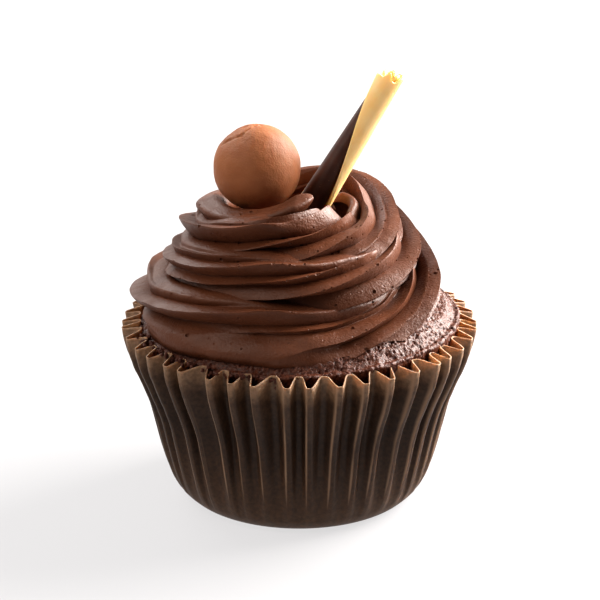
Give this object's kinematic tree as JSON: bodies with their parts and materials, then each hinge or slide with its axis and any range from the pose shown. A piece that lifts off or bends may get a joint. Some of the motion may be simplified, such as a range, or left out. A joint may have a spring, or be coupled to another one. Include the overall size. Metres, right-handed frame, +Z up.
{
  "type": "cupcake",
  "caption": "Chocolate cupcake in a pleated paper case, with a piped frosting swirl, a chocolate malt ball and a two-tone chocolate curl.",
  "frame": {"origin": "centre of the flat round base of the paper case, where it rests on the table", "axes": "+Z up through the cupcake, -Y towards the front, +X to the right, the way the chocolate curl leans"},
  "size_m": [0.0722, 0.0721, 0.0869],
  "materials": {
    "case_paper": "brown greaseproof baking paper, matt to satin",
    "sponge_crumb": "porous chocolate sponge, slightly moist",
    "chocolate_frosting": "smooth satin chocolate buttercream",
    "milk_chocolate": "matt milk chocolate with fine scuffs",
    "two_tone_chocolate": "rolled dark and white chocolate, waxy"
  },
  "bodies": {
    "root": {"paper_case": "case_paper", "sponge": "sponge_crumb", "frosting": "chocolate_frosting", "malt_ball": "milk_chocolate", "chocolate_curl": "two_tone_chocolate"}
  },
  "joints": []
}
